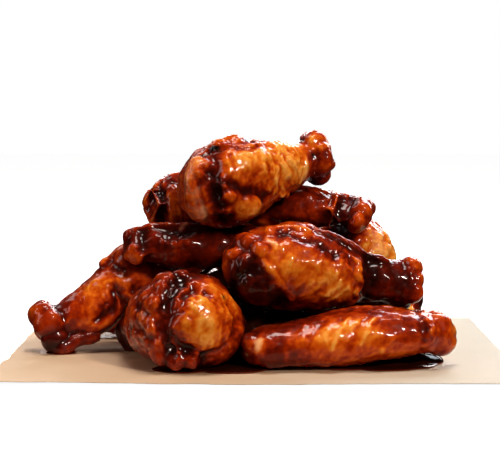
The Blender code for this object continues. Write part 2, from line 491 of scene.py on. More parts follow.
# sizes in mm: how far edges of marks wander and over what lengths, and the pitch of wrinkles, lumps and bumps
skin = {
    "wander": 1.6, "coarse": 7, "fine": 2.5, "wrinklePitch": 1.9, "wrinkleLength": 8, "lumpPitch": 13,
    "bumpPitch": 5,
}


def wearFields(mesh, wing, tree, seed):
    # moves the skin by its marks, wrinkles and lumps, and says where it is sauced, charred or pale; the sauce
    # field also carries painted shade and the pale field painted sheen and highlights
    points, normals = readPoints(mesh), readNormals(mesh)
    thick, knuckle, along, across, up = boneOf(wing)
    length = (knuckle - thick).length
    share = ((points - np.array(thick)) @ np.array(along)) / length
    fields = {name: np.zeros(len(points)) for name in ("sauce", "char", "pale")}
    fields["sauce"] += wing["sauce"]
    lift = np.zeros(len(points))
    warp = np.array([noise.noise_vector(Vector(p)) for p in points / (skin["coarse"] * mm) + seed])
    warp += 0.5 * np.array([noise.noise_vector(Vector(p)) for p in points / (skin["fine"] * mm) + seed])
    bent = points + warp * skin["wander"] * mm
    marks = wing["strokes"] + [{**fold, "width": fold["width"] * 1.3} for fold in wing["folds"]]
    marks += [{**lobe, "path": [lobe["at"]], "width": max(lobe["size"]) * 0.9} for lobe in wing["lobes"]]
    for mark in marks:
        path = [place for place, _ in curvePath(tree, wing, mark["path"])]
        weight = np.exp(-(nearPath(bent, path) / (mark["width"] * mm)) ** 2)
        lift += mark.get("lift", 0) * mm * weight
        for name in fields:
            fields[name] += mark.get(name, 0) * weight
    # wrinkles run round the bone where the skin gathers towards the knuckle
    gather = within(share, wing["wrinklesFrom"], wing["wrinklesTo"], 0.15, 0.05)
    aside, upward = points @ np.array(across), points @ np.array(up)
    pitch, drawnOut = skin["wrinklePitch"] * mm, skin["wrinkleLength"] * mm
    stretched = np.stack([share * length / pitch, aside / drawnOut, upward / drawnOut], axis=1)
    wrinkle = np.array([noise.noise(Vector(p)) for p in stretched + warp * 1.2 + seed])
    lift += gather * wrinkle * wing["wrinkles"] * mm
    lift += cloud(points, skin["lumpPitch"] * mm, seed + 1, 2) * wing["lumps"] * mm
    medium = cloud(points, skin["bumpPitch"] * mm, seed + 2, 3)
    lift += medium * wing["bumps"] * mm
    if "streaks" in wing:
        lines = wing["streaks"]
        drawn = streaks(points, lines, warp, seed)
        inside = within(share, lines.get("from", -1), lines.get("to", 2), 0.1, 0.1)
        lift += drawn * inside * lines["lift"] * mm
        fields["sauce"] -= drawn * inside * lines["sauce"]
    writePoints(mesh, points + normals * lift[:, None])
    return fields, medium


# what thickens the sauce and paints shade: small hollows, wide ones, a wing close by, low lumps, large areas
# and runs; the darkening in hollows and where a wing lies close is partly painted shade
thickensAndShades = {"hollow": 0.095, "wide": 0.14, "contactSauceAndShade": 0.35, "lumps": 0.055, "areas": 0.13, "runs": 0.06}
# the share of a hollow that fills, then in mm: how far a neighbour is sought, how near it counts, and the
# height that skin stays above the floor
glazing = {"fills": 0.75, "reach": 12, "close": 6, "rests": 0.3}


def glazeOver(mesh, fields, medium, others, seed):
    # sauce fills the hollows, lies thin on the ridges and gathers where wings meet; its darkening in the
    # hollows and where wings meet is also painted shade
    points, edges, normals = readPoints(mesh), readEdges(mesh), readNormals(mesh)
    hollow = ((evened(points, edges, 14) - points) * normals).sum(axis=1)
    points += normals * np.maximum(hollow, 0)[:, None] * glazing["fills"]
    wide = ((evened(points, edges, 60) - points) * normals).sum(axis=1)
    reach = glazing["reach"] * mm
    gap = np.array([others.find_nearest(Vector(p), reach)[3] or reach for p in points])
    contactSauceAndShade = np.clip(1 - gap / (glazing["close"] * mm), 0, 1)
    uneven = np.clip(fields["sauce"] * 1.6 + 0.25, 0.3, 1)
    # hollows darken: partly sauce that fills them, partly painted shade
    sauce = fields["sauce"] + np.clip(hollow / (0.25 * mm), -0.8, 1.4) * thickensAndShades["hollow"]
    sauce += np.clip(wide / (0.7 * mm), -1, 1.5) * thickensAndShades["wide"]
    # a wing close by darkens the skin: partly sauce gathered between them, partly painted shade where they
    # meet
    sauce += contactSauceAndShade * thickensAndShades["contactSauceAndShade"] - medium * thickensAndShades["lumps"] * uneven
    sauce += cloud(points, 17 * mm, seed + 5, 2) * thickensAndShades["areas"] * uneven
    sauce += cloud(points * np.array((1, 1, 0.3)), 5 * mm, seed + 6, 2) * thickensAndShades["runs"] * uneven
    points[:, 2] = np.maximum(points[:, 2], glazing["rests"] * mm)   # it rests on the paper, not in it
    writePoints(mesh, points)
    char = fields["char"] * (0.6 - np.clip(hollow / (0.3 * mm), -1, 1) * 0.6)   # none in the hollows
    return {"sauce": np.clip(sauce, 0, 1), "char": np.clip(char, 0, 1), "pale": np.clip(fields["pale"], 0, 1)}


def copyOfNode(name):
    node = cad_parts[name]
    body = node.copy()
    body.data = node.data.copy()
    body.name = name + "_glazed"
    body.data.name = body.name
    bpy.context.collection.objects.link(body)
    pickOnly(body)
    bpy.ops.object.mode_set(mode="EDIT")
    bpy.ops.mesh.select_all(action="SELECT")
    bpy.ops.mesh.remove_doubles(threshold=0.02 * mm)
    bpy.ops.object.mode_set(mode="OBJECT")
    body.data.materials.clear()
    return body


def makeWing(wing):
    name = wing["node"]
    seed = wing["seed"]
    body = copyOfNode(name)
    applyModifier(body, "SUBSURF", levels=2, render_levels=2)
    tree = treeOf(body)
    wing = {**ordinary, **ordinaryMarks(wing, tree)}
    extra = [addFold(tree, wing, fold) for fold in wing["folds"]]
    extra += [addLobe(tree, wing, lobe) for lobe in wing["lobes"]]
    pickOnly(body, *extra)
    bpy.ops.object.join()
    size = wing["fine"] * mm * 1
    applyModifier(body, "REMESH", mode="VOXEL", voxel_size=size)
    applyModifier(body, "SMOOTH", factor=0.5, iterations=10)
    fields, medium = wearFields(body.data, wing, tree, seed)
    fields = glazeOver(body.data, fields, medium, neighbours(name), seed)
    for key, values in fields.items():
        storeField(body.data, key, values)
    body.data.materials.append(skinFinish)
    pickOnly(body)
    bpy.ops.object.shade_smooth()
    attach(body, "root")
    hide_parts(name)
    print(name, len(body.data.polygons), "faces")


skinFinish = glazedSkin()

# Each wing is a node, its bone's ends in mm, a seed and the cell of its mesh in mm. A mark lies at (share of
# the bone, degrees round it), with its width and lift in mm, and adds to the sauce, char or pale field. Sauce
# added along creases also paints shade into them, and sauce taken away or pale added on lit lobes paints their
# light, sheen and highlights.

drumetteTop = {
    "node": "drumette_top", "thick": (-39, -30, 79), "knuckle": (35, 2, 97), "seed": 1, "fine": 0.45,
    "sauce": 0.42, "wrinkles": 0.6, "bumps": 0.45,
    "streaks": {"angle": 78, "pitch": 2.6, "lift": 0.32, "sauce": 0.09, "from": 0.3, "to": 0.85},
    "folds": [
        # the curled flap's rim: its pale is painted pinkish sheen
        {"path": [(0.14, 112), (0.07, 140), (0.05, 180), (0.06, 225), (0.10, 250)], "width": 4.6,
         "sunk": 0.4, "sauce": -0.10, "pale": 0.5},
        {"path": [(0.27, 106), (0.36, 122), (0.45, 127), (0.53, 120)], "width": 2.0, "sunk": 0.2,
         "sauce": 0.12},
        {"path": [(0.80, 158), (0.79, 180), (0.76, 205), (0.70, 235)], "width": 1.3, "sunk": 0.3,
         "sauce": -0.2, "pale": 0.25},
        {"path": [(0.58, 225), (0.63, 238), (0.66, 246)], "width": 2.0, "sunk": 0.2, "sauce": -0.05,
         "pale": 0.2},
    ],
    "lobes": [
        {"at": (0.34, 220), "size": (10, 8, 6), "sunk": 3, "sauce": -0.32},
        {"at": (0.13, 132), "size": (8, 8, 5), "sunk": 2.5, "sauce": -0.2},
        {"at": (0.2, 172), "size": (4.5, 5, 4), "sunk": 1.6, "sauce": -0.02},
        {"at": (0.21, 195), "size": (5, 4.5, 4), "sunk": 1.6, "sauce": 0.02},
        {"at": (0.2, 218), "size": (5, 5, 4), "sunk": 2},
        {"at": (0.28, 100), "size": (8, 7, 5), "sunk": 3, "sauce": -0.12},
        {"at": (0.4, 102), "size": (9, 7, 5), "sunk": 3.2, "sauce": -0.12},
        {"at": (0.95, 108), "size": (7, 7, 7), "sunk": 5.4},
        {"at": (0.985, 128), "size": (6, 6, 6), "sunk": 4.0, "sauce": -0.15, "pale": 0.1},
        {"at": (0.97, 165), "size": (6, 8, 7), "sunk": 4.8},
        {"at": (0.95, 210), "size": (7, 7, 7), "sunk": 5.6},
        {"at": (0.92, 40), "size": (7, 7, 7), "sunk": 5},
    ],
    "strokes": [
        {"path": [(0.02, 90), (0.12, 88), (0.22, 88)], "width": 9, "lift": -2.6},
        {"path": [(0.5, 90), (0.62, 88), (0.72, 90)], "width": 8, "lift": -1.8},
        {"path": [(0.15, 150), (0.16, 190), (0.17, 215), (0.2, 240)], "width": 4.5, "lift": -2.8,
         "sauce": 0.25},
        {"path": [(0.2, 112), (0.22, 140), (0.2, 165), (0.15, 188)], "width": 3.5, "lift": -1.6,
         "sauce": 0.28},
        {"path": [(0.17, 108), (0.22, 112), (0.27, 122)], "width": 2.6, "lift": -0.8, "char": 1.4},
        {"path": [(0.33, 205), (0.34, 232)], "width": 1.6, "lift": -1.0, "sauce": 0.15},
        # pale patches low on the flap: painted sheen
        {"path": [(0.07, 205), (0.09, 225)], "width": 3.0, "pale": 0.3},
        {"path": [(0.30, 140), (0.29, 165)], "width": 1.6, "lift": -0.6, "sauce": 0.12},
        {"path": [(0.46, 108), (0.51, 114)], "width": 2.2, "lift": -0.5, "char": 1.3},
        {"path": [(0.3, 155), (0.4, 150), (0.47, 150)], "width": 6.5, "lift": 1.2, "sauce": -0.30},
        # a crease under the belly: its added sauce is partly painted shade in it
        {"path": [(0.24, 174), (0.33, 190), (0.42, 201), (0.47, 216)], "width": 2.7, "lift": -1.8,
         "sauce": 0.31},
        {"path": [(0.28, 192), (0.36, 202)], "width": 3.0, "lift": 0.8, "sauce": 0.2},
        # the lit right side: less sauce and pale here paint its light and sheen
        {"path": [(0.56, 190), (0.65, 175), (0.73, 190)], "width": 8.5, "lift": 0.4, "sauce": -0.37,
         "pale": 0.24},
        {"path": [(0.66, 118), (0.78, 122), (0.88, 128)], "width": 4.5, "lift": 0.8, "sauce": -0.32,
         "pale": 0.15},
        {"path": [(0.55, 130), (0.62, 140)], "width": 6, "sauce": -0.2},
        {"path": [(0.51, 165), (0.52, 190), (0.5, 215)], "width": 1.8, "lift": -0.9, "sauce": 0.15},
        {"path": [(0.575, 160), (0.585, 185), (0.57, 212)], "width": 1.5, "lift": -0.7, "sauce": 0.09},
        {"path": [(0.64, 150), (0.655, 180), (0.64, 215)], "width": 1.5, "lift": -0.6, "sauce": 0.07},
        {"path": [(0.83, 90), (0.83, 150), (0.82, 210), (0.82, 260)], "width": 3.2, "lift": -0.5,
         "sauce": 0.20},
        {"path": [(0.85, 160), (0.855, 168)], "width": 1.5, "char": 1.5},
        {"path": [(0.945, 138), (0.95, 178)], "width": 1.1, "char": 1.3},
        {"path": [(0.9, 100), (0.92, 200)], "width": 9, "sauce": 0.06},
        {"path": [(0.87, 165), (0.93, 168), (0.98, 178)], "width": 3.2, "lift": -0.9, "sauce": 0.15},
        {"path": [(0.99, 120), (1.0, 160), (0.98, 200)], "width": 2.0, "sauce": -0.25, "pale": 0.12},
        {"path": [(0.61, 236)], "width": 1.3, "lift": -2.0, "char": 1.0},
        {"path": [(0.2, 240), (0.4, 240)], "width": 4, "sauce": 0.3},
    ],
}
flatTopLeft = {
    "node": "flat_top_left", "thick": (-53, 0, 72), "knuckle": (-2, 48, 67), "seed": 2, "fine": 0.5,
    "sauce": 0.44, "wrinkles": 0.3,
    "folds": [
        {"path": [(0.06, 50), (0.03, 15), (0.05, 330), (0.12, 295)], "width": 3.2, "sunk": -0.5,
         "sauce": -0.1},
        {"path": [(0.14, 115), (0.1, 150), (0.09, 190), (0.14, 240)], "width": 3.8, "sunk": 0.5,
         "sauce": -0.12, "pale": 0.12},
    ],
    "lobes": [{"at": (0.93, 270), "size": (12, 10, 9), "sunk": 2, "sauce": 0.4}],
    "strokes": [
        {"path": [(0.05, 80), (0.03, 200), (0.08, 260)], "width": 2.7, "lift": -2.2, "sauce": 0.25},
        {"path": [(0.0, 60), (0.08, 80)], "width": 6, "lift": -2.5},
    ],
}
flatTopRight = {
    "node": "flat_top_right", "thick": (-12, 8, 72), "knuckle": (56, -4, 67), "seed": 3, "fine": 0.5,
    "sauce": 0.56, "wrinkles": 0.3,
    "folds": [
        {"path": [(0.70, 165), (0.76, 182), (0.8, 205)], "width": 1.8, "sunk": 0, "sauce": -0.3},
        {"path": [(0.4, 100), (0.55, 110), (0.7, 105)], "width": 2.0, "sunk": 0.5, "sauce": -0.12},
    ],
    "lobes": [
        {"at": (0.04, 230), "size": (12, 9, 8), "sunk": 3, "sauce": 0.4},
        {"at": (0.80, 95), "size": (6, 5, 4), "sunk": 2, "sauce": -0.05},
        {"at": (0.96, 150), "size": (5, 6, 5), "sunk": 2, "sauce": -0.12},
        {"at": (0.93, 195), "size": (5, 5, 5), "sunk": 2, "sauce": -0.1},
        {"at": (0.98, 40), "size": (5, 5, 5), "sunk": 2},
    ],
    "strokes": [
        {"path": [(0.85, 80), (0.87, 130), (0.86, 180)], "width": 2.7, "lift": -1.8, "sauce": 0.19},
        {"path": [(0.72, 190), (0.78, 215)], "width": 4.1, "lift": -1.8, "sauce": 0.25},
    ],
}
flatMidLeft = {
    "node": "flat_mid_left", "thick": (8, -12, 50), "knuckle": (-66, -14, 53), "seed": 4, "fine": 0.5,
    "sauce": 0.74, "lumps": 1.8, "wrinkles": 0.3,
    "folds": [
        {"path": [(0.93, 60), (0.8, 80), (0.62, 74), (0.45, 72), (0.3, 80)], "width": 2.4, "sunk": 0.3,
         "sauce": -0.1},
        {"path": [(0.99, 20), (0.95, 330), (0.9, 300)], "width": 2.2, "sunk": 0.5, "sauce": -0.25},
        {"path": [(0.75, 20), (0.65, 12), (0.55, 20)], "width": 1.6, "sunk": 0.5},
    ],
    "lobes": [
        {"at": (0.97, 62), "size": (3.5, 3.5, 3.5), "sunk": 1},
        {"at": (0.92, 340), "size": (7, 6, 4), "sunk": 2.5, "sauce": -0.25},
    ],
    "strokes": [
        {"path": [(0.62, 60), (0.58, 66)], "width": 2.0, "pale": 0.5, "sauce": -0.3},
        {"path": [(0.87, 50), (0.86, 10), (0.84, 330)], "width": 2.7, "lift": -1.4, "sauce": 0.12},
        {"path": [(0.7, 45), (0.5, 45)], "width": 3.4, "lift": -1.3, "sauce": 0.12},
    ],
}
drumetteMidRight = {
    "node": "drumette_mid_right", "thick": (-17, -46, 48), "knuckle": (77, -34, 35), "seed": 5,
    "fine": 0.45, "sauce": 0.46, "bumps": 0.38,
    "streaks": {"angle": 60, "pitch": 2.6, "lift": 0.12, "sauce": 0.10, "from": 0.15, "to": 0.7},
    "wrinklesFrom": 0.4, "wrinklesTo": 0.66,
    "folds": [
        {"path": [(0.14, 160), (0.2, 176), (0.27, 196), (0.33, 214), (0.35, 238)], "width": 3.6,
         "sunk": 2.4, "sauce": -0.06},
        {"path": [(0.60, 132), (0.655, 148), (0.645, 166), (0.69, 184), (0.66, 200), (0.68, 216),
                   (0.63, 240)],
         "width": 1.9, "sunk": 0.2, "sauce": -0.16},
        {"path": [(0.42, 100), (0.56, 108), (0.68, 114), (0.82, 108)], "width": 2.4, "sunk": 0,
         "sauce": 0.15},
        {"path": [(0.18, 112), (0.3, 106), (0.42, 108)], "width": 2.2, "sunk": 0.3, "sauce": -0.12},
    ],
    "lobes": [
        {"at": (0.05, 150), "size": (6, 4, 4), "sunk": 1.5, "sauce": -0.30},
        {"at": (0.1, 170), "size": (5, 5, 4), "sunk": 1.8, "sauce": 0.05},
        {"at": (0.16, 148), "size": (5, 5, 4), "sunk": 1.8, "pale": 0.12},
        {"at": (0.08, 112), "size": (6, 6, 5), "sunk": 2.4},
        {"at": (0.06, 190), "size": (5, 6, 4), "sunk": 2, "sauce": 0.1},
        {"at": (0.24, 112), "size": (7, 5, 4), "sunk": 2.2, "sauce": -0.1},
        {"at": (0.12, 128), "size": (6, 5, 4), "sunk": 2, "pale": 0.15},
        {"at": (0.96, 95), "size": (5, 6, 5), "sunk": 2},
        {"at": (0.985, 140), "size": (4, 5, 5), "sunk": 2},
        {"at": (0.975, 205), "size": (5, 6, 5), "sunk": 2},
        {"at": (0.2, 215), "size": (13, 10, 6), "sunk": 4},
    ],
    "strokes": [
        {"path": [(0.11, 170), (0.17, 184), (0.23, 203), (0.285, 222), (0.30, 240)], "width": 4.2,
         "lift": -1.5, "sauce": 0.22},
        {"path": [(0.25, 118), (0.35, 127), (0.45, 131), (0.52, 142)], "width": 3.0, "lift": -1.4,
         "sauce": 0.26},
        {"path": [(0.2, 132), (0.23, 142)], "width": 2.6, "lift": 0.8, "pale": 0.45, "sauce": -0.2},
        {"path": [(0.25, 160), (0.38, 172), (0.52, 186), (0.6, 212)], "width": 8.5, "lift": 0.6,
         "sauce": -0.26},
        {"path": [(0.12, 200), (0.2, 213), (0.27, 226)], "width": 6.5, "sauce": 0.5},
        {"path": [(0.5, 205), (0.56, 186)], "width": 1.3, "lift": 0.6, "sauce": -0.15},
        {"path": [(0.54, 214), (0.6, 190)], "width": 1.3, "lift": 0.6, "sauce": -0.15, "pale": 0.15},
        {"path": [(0.45, 210), (0.5, 190)], "width": 1.6, "lift": -0.5, "sauce": 0.06},
        {"path": [(0.71, 120), (0.72, 160), (0.72, 200), (0.71, 240)], "width": 4.1, "lift": -2.7,
         "sauce": 0.31},
        {"path": [(0.76, 150), (0.88, 180)], "width": 10, "sauce": 0.3},
        {"path": [(0.05, 110), (0.07, 180), (0.08, 230)], "width": 5, "sauce": 0.3},
        {"path": [(0.89, 120), (0.9, 170), (0.89, 220)], "width": 3.4, "lift": -1.1, "sauce": 0.06},
    ],
}
drumetteBackRight = {
    "node": "drumette_back_right", "thick": (67, 8, 44), "knuckle": (0, 54, 50), "seed": 6, "fine": 0.5,
    "sauce": 0.15, "bumps": 0.95, "wrinkles": 0.5,
    "strokes": [
        # a pale patch at the upper right: painted highlight
        {"path": [(0.04, 50), (0.1, 70)], "width": 10, "pale": 0.45, "sauce": -0.06},
        {"path": [(0.28, 10), (0.26, 60), (0.3, 100)], "width": 11, "sauce": 0.75, "pale": -0.4},
        {"path": [(0.3, 60), (0.35, 100)], "width": 6, "sauce": 0.25},
    ],
}
drumetteMidBack = {
    "node": "drumette_mid_back", "thick": (-8, 60, 42), "knuckle": (-74, 46, 34), "seed": 7, "fine": 0.6,
}
drumetteLeft = {
    "node": "drumette_left", "thick": (-42, 12, 41), "knuckle": (-109, -18, 11), "seed": 8, "fine": 0.45,
    "sauce": 0.46, "wrinkles": 0.22, "bumps": 0.12,
    "streaks": {"angle": 28, "pitch": 2.6, "lift": 0.10, "sauce": 0.08, "from": 0.35, "to": 0.85},
    "wrinklesFrom": 0.25, "wrinklesTo": 0.8,
    "folds": [
        {"path": [(0.95, 310), (0.88, 303), (0.78, 300), (0.66, 303)], "width": 4.2, "sunk": -1.4,
         "sauce": 0.32},
        {"path": [(0.28, 95), (0.38, 88), (0.48, 92)], "width": 3.0, "sunk": 0},
    ],
    "lobes": [
        {"at": (0.955, 100), "size": (8, 9, 8), "sunk": 6.2},
        {"at": (0.985, 50), "size": (6, 8, 8), "sunk": 5.2},
        {"at": (0.9, 70), "size": (6, 7, 6), "sunk": 4.4},
        {"at": (0.94, 320), "size": (7, 7, 7), "sunk": 3.8, "sauce": 0.3},
        {"at": (0.97, 20), "size": (8, 8, 8), "sunk": 6},
        {"at": (0.25, 80), "size": (16, 11, 9), "sunk": 4.5, "sauce": -0.1},
        {"at": (0.1, 60), "size": (12, 10, 8), "sunk": 3},
    ],
    "strokes": [
        {"path": [(0.36, 4), (0.45, 356), (0.55, 350), (0.64, 344)], "width": 2.8, "lift": -2.6,
         "sauce": 0.26},
        {"path": [(0.78, 335), (0.62, 325), (0.45, 335)], "width": 5, "lift": 0.6, "sauce": -0.16},
        {"path": [(0.48, 292), (0.35, 290), (0.22, 292)], "width": 8, "lift": -3.2},
        {"path": [(0.55, 92), (0.68, 90), (0.8, 90)], "width": 7, "lift": -2.0},
        {"path": [(0.6, 55), (0.55, 62)], "width": 6, "sauce": -0.25},
        {"path": [(0.66, 25), (0.45, 30)], "width": 5, "sauce": -0.12},
        {"path": [(0.85, 40), (0.87, 25)], "width": 3.0, "pale": 0.3},
        {"path": [(0.83, 80), (0.82, 30), (0.81, 340)], "width": 3.0, "lift": -0.9, "sauce": 0.09},
        {"path": [(0.2, 60), (0.15, 20), (0.2, 340)], "width": 6, "sauce": -0.05, "pale": 0.08},
    ],
}
drumetteFront = {
    "node": "drumette_front", "thick": (-22, -78, 24), "knuckle": (-62, -2, 10), "seed": 9, "fine": 0.45,
    "sauce": 0.50, "wrinkles": 0, "bumps": 0.5,
    "streaks": {"angle": 70, "pitch": 2.4, "lift": 0.15, "sauce": 0.10, "to": 0.12},
    "folds": [{"path": [(0.13, 66), (0.105, 50), (0.095, 38)], "width": 1.3, "sunk": -0.3, "pale": 0.25}],
    "lobes": [
        {"at": (0.13, 308), "size": (6, 6, 7), "sunk": 1.6, "sauce": 0.08},
        {"at": (0.10, 292), "size": (5.5, 6, 6), "sunk": 1.6, "sauce": 0.12},
        {"at": (0.18, 324), "size": (6, 6, 6), "sunk": 1.8, "sauce": 0.1},
        {"at": (0.2, 62), "size": (7, 5, 5), "sunk": 2, "sauce": 0.1},
        {"at": (0.24, 10), "size": (7, 6, 4), "sunk": 2.5, "sauce": -0.05},
        {"at": (0.35, 20), "size": (9, 8, 5), "sunk": 3, "sauce": -0.08},
        {"at": (0.3, 350), "size": (7, 6, 5), "sunk": 3},
        {"at": (0.15, 50), "size": (5, 5, 5), "sunk": 2.8},
        {"at": (0.14, 25), "size": (6, 5, 5), "sunk": 2.8, "sauce": -0.08},
        {"at": (0.15, 0), "size": (5, 6, 5), "sunk": 2.8, "sauce": -0.05},
        {"at": (0.16, 335), "size": (6, 6, 5), "sunk": 2.6, "sauce": -0.08},
        {"at": (0.25, 35), "size": (7, 6, 5), "sunk": 3.2},
        {"at": (0.23, 345), "size": (6, 6, 5), "sunk": 3},
        {"at": (0.2, 80), "size": (6, 6, 5), "sunk": 3},
    ],
    "strokes": [
        # the lobe facing the front-right lamp: less sauce and pale here paint its light
        {"path": [(0.005, 150), (0.03, 200)], "width": 16, "lift": 2.2, "sauce": -0.17},
        {"path": [(0.01, 345), (0.025, 280)], "width": 8, "lift": 0.8, "sauce": -0.22, "pale": 0.16},
        {"path": [(0.035, 240), (0.06, 275), (0.07, 300)], "width": 4, "lift": -0.6, "sauce": 0.12},
        {"path": [(0.01, 190), (0.06, 205)], "width": 2.6, "lift": -0.4, "sauce": 0.10},
        {"path": [(0.03, 60), (0.045, 85)], "width": 3, "lift": 0.5, "sauce": -0.12},
        {"path": [(0.03, 150), (0.05, 190), (0.04, 230)], "width": 5, "lift": 0.5, "sauce": 0.04},
        {"path": [(0.06, 100), (0.02, 120)], "width": 1.6, "lift": -0.5, "sauce": 0.08},
        {"path": [(0.07, 130), (0.03, 150)], "width": 1.8, "lift": 0.5, "sauce": -0.08},
        {"path": [(0.08, 160), (0.04, 170)], "width": 1.8, "lift": 0.4, "sauce": -0.06},
        # the valley left of the lit lobe: its added sauce is partly painted shade
        {"path": [(0.13, 68), (0.085, 38), (0.075, 10), (0.08, 345), (0.11, 318)], "width": 3.6,
         "lift": -3.0, "sauce": 0.20},
        {"path": [(0.06, 95), (0.08, 125), (0.08, 160)], "width": 9, "sauce": -0.20, "pale": 0.06},
        # two small pale spots: painted highlights
        {"path": [(0.2, 12)], "width": 2.8, "pale": 0.5, "sauce": -0.2},
        {"path": [(0.2, 355)], "width": 2.2, "pale": 0.35},
        {"path": [(0.17, 80), (0.16, 105), (0.18, 130)], "width": 4, "sauce": 0.22},
        {"path": [(0.07, 136)], "width": 2.2, "char": 0.9},
        {"path": [(0.16, 150), (0.16, 190), (0.16, 240), (0.14, 280)], "width": 6, "sauce": 0.25},
        {"path": [(0.25, 45), (0.22, 20), (0.24, 345)], "width": 2.4, "lift": -1.4, "sauce": 0.19},
        {"path": [(0.9, 350), (0.95, 0)], "width": 10, "sauce": 0.3},
    ],
}
flatFront = {
    "node": "flat_front", "thick": (90, -48, 15), "knuckle": (-9, -62, 9), "seed": 10, "fine": 0.45,
    "sauce": 0.41, "wrinkles": 0.1, "lumps": 0.7, "bumps": 0.2,
    "streaks": {"angle": 38, "pitch": 2.5, "lift": 0.08, "sauce": 0.12},
    "folds": [
        {"path": [(0.14, 50), (0.12, 20), (0.13, 340)], "width": 1.8, "sunk": 0.4},
        {"path": [(0.2, 95), (0.35, 84), (0.5, 88), (0.7, 84)], "width": 2.6, "sunk": 1.9, "sauce": 0.05},
    ],
    "lobes": [
        {"at": (0.06, 45), "size": (7, 6, 5), "sunk": 2, "sauce": -0.1},
        {"at": (0.015, 20), "size": (5, 5, 5), "sunk": 1.5, "sauce": -0.2},
        {"at": (0.02, 330), "size": (4, 5, 4), "sunk": 1, "sauce": -0.1},
        {"at": (0.05, 120), "size": (6, 6, 5), "sunk": 2},
        {"at": (0.05, 310), "size": (9, 9, 7), "sunk": 3.6},
        {"at": (0.03, 350), "size": (7, 9, 8), "sunk": 4.2},
        {"at": (0.96, 40), "size": (5, 6, 5), "sunk": 2.5},
    ],
    "strokes": [
        {"path": [(0.76, 22), (0.64, 24), (0.5, 30), (0.4, 22)], "width": 7.5, "sauce": -0.20},
        {"path": [(0.6, 20), (0.48, 26)], "width": 6, "sauce": -0.12},
        # pale dots at the thin end: painted highlights
        {"path": [(0.93, 12), (0.92, 25)], "width": 2.4, "pale": 0.8, "sauce": -0.3},
        {"path": [(0.975, 355)], "width": 1.6, "pale": 0.6},
        {"path": [(0.87, 35)], "width": 1.5, "pale": 0.4},
        {"path": [(0.6, 0), (0.5, 50)], "width": 1.3, "lift": 0.5, "sauce": -0.1},
        {"path": [(0.52, 0), (0.42, 45)], "width": 1.6, "lift": -0.5, "sauce": 0.05},
        {"path": [(0.46, 5), (0.38, 42)], "width": 1.2, "lift": 0.5, "sauce": -0.1},
        {"path": [(0.7, 5), (0.6, 55)], "width": 1.9, "lift": -0.5, "sauce": 0.05},
        {"path": [(0.36, 355), (0.26, 35)], "width": 1.4, "lift": 0.5},
        {"path": [(0.8, 0), (0.7, 50)], "width": 1.5, "lift": 0.4},
        {"path": [(0.3, 20), (0.2, 20)], "width": 8, "sauce": 0.08},
        {"path": [(0.98, 20), (0.85, 355), (0.72, 335)], "width": 9, "sauce": 0.20},
        {"path": [(0.95, 60), (0.8, 60), (0.65, 60)], "width": 6, "sauce": 0.12},
        {"path": [(0.85, 60), (0.6, 70), (0.35, 70)], "width": 4, "sauce": 0.10},
        {"path": [(0.16, 288), (0.36, 292)], "width": 8, "lift": -2.0, "sauce": 0.10},
        {"path": [(0.0, 300), (0.2, 305), (0.34, 300)], "width": 3.5, "sauce": 0.25},
        {"path": [(0.3, 335), (0.5, 335), (0.7, 345)], "width": 8, "sauce": -0.10},
        {"path": [(0.17, 60), (0.16, 20), (0.17, 340)], "width": 2.2, "lift": -0.9, "sauce": 0.09},
    ],
}
drumetteCentre = {
    "node": "drumette_centre", "thick": (-10, -40, 27), "knuckle": (-16, 50, 12), "seed": 11, "fine": 0.7,
    # sauce this high makes it near black all through: painted shade where it lies among the wings
    "sauce": 1.2,
}
drumetteRight = {
    "node": "drumette_right", "thick": (6, 24, 22), "knuckle": (79, -14, 20), "seed": 12, "fine": 0.6,
    "sauce": 1.0,
    "strokes": [{"path": [(0.9, 110), (0.95, 150), (0.98, 200)], "width": 8, "sauce": -0.95}],
}
flatBack = {
    "node": "flat_back", "thick": (82, 26, 14), "knuckle": (14, 66, 13), "seed": 13, "fine": 0.6,
    "wrinkles": 0.2,
}
drumetteBackLeft = {
    "node": "drumette_back_left", "thick": (-32, 48, 19), "knuckle": (-100, 30, 11), "seed": 14,
    "fine": 0.6,
}
drumetteBack = {
    "node": "drumette_back", "thick": (8, 78, 19), "knuckle": (-64, 74, 11), "seed": 15, "fine": 0.6,
}

wings = (
    drumetteTop, flatTopLeft, flatTopRight, flatMidLeft, drumetteMidRight, drumetteBackRight, drumetteMidBack,
    drumetteLeft, drumetteFront, flatFront, drumetteCentre, drumetteRight, flatBack, drumetteBackLeft,
    drumetteBack,
)
for wing in wings:
    makeWing(wing)
print("wings are glazed")


paper = {
    "cell": 1.1, "thickness": 0.25, "waves": 0.5, "curl": 1.4,
    "light": (0.70, 0.51, 0.345), "dark": (0.63, 0.445, 0.285), "paintedSheen": (0.53, 0.475, 0.385),
    "greasy": (0.40, 0.21, 0.09),
}


def paperFinish():
    maker = Maker("kraftPaper")
    place = maker.node("ShaderNodeTexCoord", output=3)
    drawnOut = maker.node("ShaderNodeMapping", inputs={0: place, 3: (1, 6, 1)})
    long = maker.noise(drawnOut, 500, Detail=4, Roughness=0.7)
    fibre = maker.noise(place, 1500, Detail=2)
    blotch = maker.noise(place, 28, Detail=4, Roughness=0.6)
    aside = maker.node("ShaderNodeSeparateXYZ", inputs={0: place})
    # the right side lighter and less orange: painted sheen of the back-right lamp at a grazing angle
    rightSheen = maker.clamp(aside + blotch * 0.05, -0.02, 0.15)
    grease = maker.field("grease")
    tone = maker.mix(maker.clamp(blotch * 0.7 + long * 0.3, 0.35, 0.66), paper["dark"], paper["light"])
    tone = maker.mix(rightSheen, tone, paper["paintedSheen"])
    tone = maker.mix(grease * 0.55, tone, paper["greasy"])
    bump = maker.bump(0.35, 0.00025, long + fibre * 0.4)
    rough = maker.clamp(blotch, 0.3, 0.7) * 0.1 + 0.55 - grease * 0.2
    return maker.surface(**{"Base Color": tone, "Roughness": rough, "Normal": bump})


def wander(places, octaves=4):
    return np.array([noise.fractal(Vector(p), 1.0, 2.0, octaves) for p in places])


